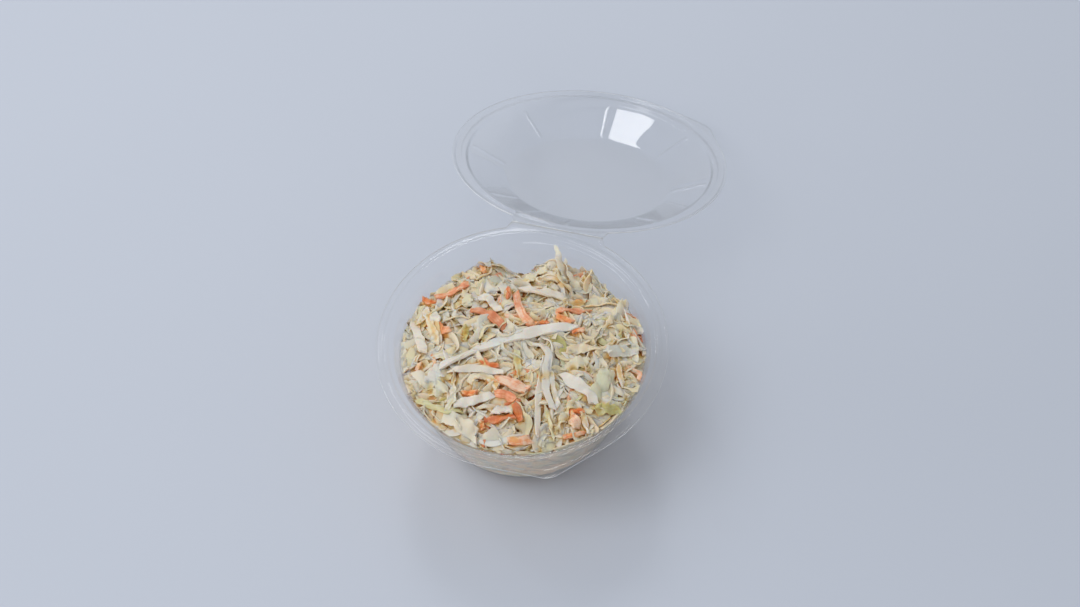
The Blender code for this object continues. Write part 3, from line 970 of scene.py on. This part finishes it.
def cut_edge_material():
    """The trimmed edge of the sheet, painted pale in place of the light it gathers, so it shows as a fine pale line.
    """
    n = Nodes("cut_edge")
    spot = n.add("TexCoord").outputs["Object"]
    uneven = n.add("TexNoise", Vector=spot, Scale=90.0, Detail=2.0).outputs["Fac"]
    share = n.add("MapRange", Value=uneven)
    share.inputs["From Min"].default_value = 0.35
    share.inputs["From Max"].default_value = 0.65
    share.inputs["To Min"].default_value = 0.5
    share.inputs["To Max"].default_value = 0.9
    clear = n.add("BsdfTransparent", Color=(0.93, 0.95, 0.97, 1.0)).outputs["BSDF"]
    # Painted highlight: a pale surface on the edge stands in for the light the sheet gathers there.
    painted_edge_light = n.add("BsdfPrincipled", Base_Color=(0.92, 0.94, 0.97, 1.0), Roughness=0.25).outputs["BSDF"]
    return n.finish(n.mix_shaders(share.outputs["Result"], clear, painted_edge_light))


def food_material(name, stops, rough, subsurface, streak, relief_height):
    """Dressed vegetable: tone from strip to strip, fibres along it, dressing in patches, and painted warm shade
    where it lies deep.
    """
    n = Nodes(name)
    tone = n.attribute("tone")
    spot = n.add("TexCoord").outputs["Object"]
    place = n.tree.nodes.new("ShaderNodeUVMap")
    place.uv_map = "along"
    stretch = n.add("Mapping", Vector=place.outputs["UV"], Scale=(1500.0, 150.0, 1.0))
    fibre = n.add("TexNoise", Vector=stretch.outputs["Vector"], Scale=1.0, Detail=3.0, Roughness=0.6).outputs["Fac"]
    patch = n.add("TexNoise", Vector=spot, Scale=330.0, Detail=2.0).outputs["Fac"]
    value = n.math("MULTIPLY_ADD", n.math("SUBTRACT", fibre, 0.5), streak * 2.0, tone)
    value = n.math("MULTIPLY_ADD", n.math("SUBTRACT", patch, 0.5), streak * 2.0, value)
    colour = n.ramp(value, *stops)
    colour = painted_hollow_shade(n, colour, spot)
    relief = n.add("Bump", Strength=0.6, Distance=relief_height, Height=fibre)
    relief = n.add("Bump", Strength=0.6, Distance=relief_height * 1.6, Height=patch, Normal=relief.outputs["Normal"])
    shader = n.add(
        "BsdfPrincipled", Base_Color=colour, Roughness=rough, IOR=1.4, Normal=relief.outputs["Normal"],
    )
    soften(shader, subsurface)
    return n.finish(shader.outputs["BSDF"])


def painted_hollow_shade(n, colour, spot):
    """Painted warm shade: the colour is made darker and warmer where a surface lies deep. It stands for the shade in
    the hollows between strips, and partly for thin dressing stained by carrot that pools there.
    """
    uneven = n.add("TexNoise", Vector=spot, Scale=210.0, Detail=1.0).outputs["Fac"]
    deep = n.math("MULTIPLY_ADD", n.math("SUBTRACT", uneven, 0.5), 1.6, n.attribute("depth"))
    # Painted shade: the deeper a point lies, the darker and more orange its colour.
    shade = n.ramp(
        n.math("MULTIPLY_ADD", deep, 0.2, 0.40), (0.0, (1.0, 1.0, 1.0)), (0.18, (1.0, 0.78, 0.46)),
        (0.42, (1.0, 0.54, 0.21)), (0.8, (0.95, 0.38, 0.11)),
    )
    mix = n.tree.nodes.new("ShaderNodeMix")
    mix.data_type = "RGBA"
    mix.blend_type = "MULTIPLY"
    mix.inputs["Factor"].default_value = 1.0
    n.tree.links.new(colour, mix.inputs[6])
    n.tree.links.new(shade, mix.inputs[7])
    return mix.outputs[2]


def soften(shader, weight):
    shader.inputs["Subsurface Weight"].default_value = weight
    shader.inputs["Subsurface Radius"].default_value = (1.0, 0.66, 0.40)
    shader.inputs["Subsurface Scale"].default_value = 0.0026


# For each kind: colours by tone, roughness, subsurface share, streaks, relief in metres.
LOOKS = {
    "cabbage_white": (
        ((0.0, (0.81, 0.68, 0.52)), (0.5, (0.80, 0.71, 0.60)), (1.0, (0.78, 0.72, 0.65))), 0.33, 0.6, 0.30, 0.0002,
    ),
    "cabbage_cream": (
        ((0.0, (0.83, 0.64, 0.42)), (0.5, (0.84, 0.69, 0.51)), (1.0, (0.81, 0.70, 0.57))), 0.33, 0.6, 0.35, 0.0002,
    ),
    "cabbage_leaf": (
        ((0.0, (0.79, 0.65, 0.41)), (0.5, (0.82, 0.69, 0.49)), (1.0, (0.80, 0.71, 0.57))), 0.30, 0.6, 0.35, 0.0002,
    ),
    "cabbage_green": (
        ((0.0, (0.56, 0.50, 0.20)), (0.5, (0.70, 0.63, 0.37)), (1.0, (0.78, 0.71, 0.50))), 0.30, 0.6, 0.40, 0.0002,
    ),
    "cabbage_clear": (
        ((0.0, (0.66, 0.60, 0.46)), (0.5, (0.70, 0.64, 0.54)), (1.0, (0.74, 0.69, 0.61))), 0.25, 0.6, 0.30, 0.0002,
    ),
    "cabbage_fine": (
        ((0.0, (0.82, 0.65, 0.44)), (0.5, (0.82, 0.69, 0.54)), (1.0, (0.79, 0.71, 0.61))), 0.32, 0.6, 0.30, 0.0002,
    ),
    "carrot": (
        ((0.0, (0.72, 0.25, 0.12)), (0.5, (0.88, 0.39, 0.22)), (1.0, (0.92, 0.62, 0.46))), 0.34, 0.5, 0.95, 0.0003,
    ),
}


def core_material():
    n = Nodes("dressed_core")
    spot = n.add("TexCoord").outputs["Object"]
    patch = n.add("TexNoise", Vector=spot, Scale=260.0, Detail=4.0, Roughness=0.6).outputs["Fac"]
    colour = n.ramp(patch, (0.35, (0.94, 0.64, 0.36)), (0.55, (0.92, 0.69, 0.45)), (0.75, (0.88, 0.72, 0.55)))
    colour = painted_hollow_shade(n, colour, spot)
    bump = n.add("Bump", Strength=0.7, Distance=0.0008, Height=patch)
    shader = n.add("BsdfPrincipled", Base_Color=colour, Roughness=0.38, Normal=bump.outputs["Normal"])
    soften(shader, 0.8)
    return n.finish(shader.outputs["BSDF"])


def floor_material():
    n = Nodes("pale_floor")
    place = n.add("TexCoord").outputs["Object"]
    cloud = n.add("TexNoise", Vector=place, Scale=3.0, Detail=2.0)
    colour = n.ramp(cloud.outputs["Fac"], (0.3, (0.535, 0.578, 0.668)), (0.7, (0.55, 0.594, 0.686)))
    shader = n.add("BsdfPrincipled", Base_Color=colour, Roughness=0.5)
    return n.finish(shader.outputs["BSDF"])


# ---------------------------------------------------------------- light, floor, camera

def softbox(name, azimuth, elevation, distance, size, power, target=(0.0, 0.05, 0.03), colour=(1, 1, 1)):
    """A soft rectangular light seen from the target in that direction."""
    lamp = bpy.data.lights.new(name, "AREA")
    lamp.shape = "RECTANGLE"
    lamp.size, lamp.size_y = size
    lamp.energy = power
    lamp.color = colour
    light = bpy.data.objects.new(name, lamp)
    turn, rise = math.radians(azimuth), math.radians(elevation)
    way = Vector((math.cos(turn) * math.cos(rise), math.sin(turn) * math.cos(rise), math.sin(rise)))
    light.location = Vector(target) + way * distance
    light.rotation_euler = way.to_track_quat("Z", "Y").to_euler()
    bpy.context.scene.collection.objects.link(light)


def make_surroundings():
    bpy.ops.mesh.primitive_plane_add(size=12.0, location=(0.0, 0.0, -0.0002))
    floor = bpy.context.object
    floor.name = "floor"
    floor.data.materials.append(floor_material())
    world = bpy.data.worlds.new("studio")
    world.use_nodes = True
    world.node_tree.nodes["Background"].inputs["Color"].default_value = (0.96, 0.98, 1.0, 1.0)
    world.node_tree.nodes["Background"].inputs["Strength"].default_value = 0.53
    scene = bpy.context.scene
    scene.world = world
    softbox("key", 206.0, 56.0, 2.2, (1.3, 1.3), 15.0)
    softbox("back_box", 113.0, 46.0, 1.6, (0.28, 0.40), 3.2, target=(0.01, 0.155, 0.003))
    softbox("left_low", -165.0, 12.0, 1.6, (0.8, 0.14), 2.4)
    softbox("left_strip", 150.0, 40.0, 1.8, (0.10, 0.5), 1.6)
    softbox("front_low", -95.0, 20.0, 1.6, (0.9, 0.14), 1.6)
    scene.view_settings.view_transform = "Standard"
    scene.cycles.max_bounces = 16
    scene.cycles.transmission_bounces = 14
    scene.cycles.transparent_max_bounces = 16


def make_camera():
    azimuth, elevation, roll = map(math.radians, (CAMERA_AZIMUTH, CAMERA_ELEVATION, CAMERA_ROLL))
    forward = Vector((
        -math.sin(azimuth) * math.cos(elevation), math.cos(azimuth) * math.cos(elevation), -math.sin(elevation)
    ))
    level = Vector((math.cos(azimuth), math.sin(azimuth), 0.0))
    over = level.cross(forward)
    right = math.cos(roll) * level + math.sin(roll) * over
    up = math.cos(roll) * over - math.sin(roll) * level
    sight = forward - RIM_LEFT_OF_AXIS * right - RIM_BELOW_AXIS * up
    camera = bpy.data.objects.new("camera", bpy.data.cameras.new("camera"))
    camera.data.lens = CAMERA_LENS
    camera.location = Vector((0.0, 0.0, RIM_HEIGHT)) - CAMERA_DISTANCE * sight
    turn = Matrix((right, up, -forward)).transposed()
    camera.rotation_euler = turn.to_euler()
    bpy.context.scene.collection.objects.link(camera)
    bpy.context.scene.camera = camera


def dress(piece, material, body):
    piece.data.materials.append(material)
    if body:
        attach(piece, body)


def main():
    make_camera()
    make_surroundings()
    clear = plastic_material()
    edge = cut_edge_material()
    for name, make in (("bowl", make_bowl), ("lid", make_lid)):
        shell = make()
        dress(shell, clear, name)
        shell.data.materials.append(edge)
        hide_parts(name)
    dress(make_hinge_film(), clear, None)

    strips, outline, bed = make_heap()
    core = make_core(outline, bed)
    dress(core, core_material(), "bowl")
    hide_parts("coleslaw")
    surface = bed.evened(10)
    for name, bundle in strips.items():
        stops, rough, subsurface, streak, relief = LOOKS[name]
        material = food_material(name + "_look", stops, rough, subsurface, streak, relief)
        piece = bundle.build(surface)
        dress(piece, material, "bowl")


main()
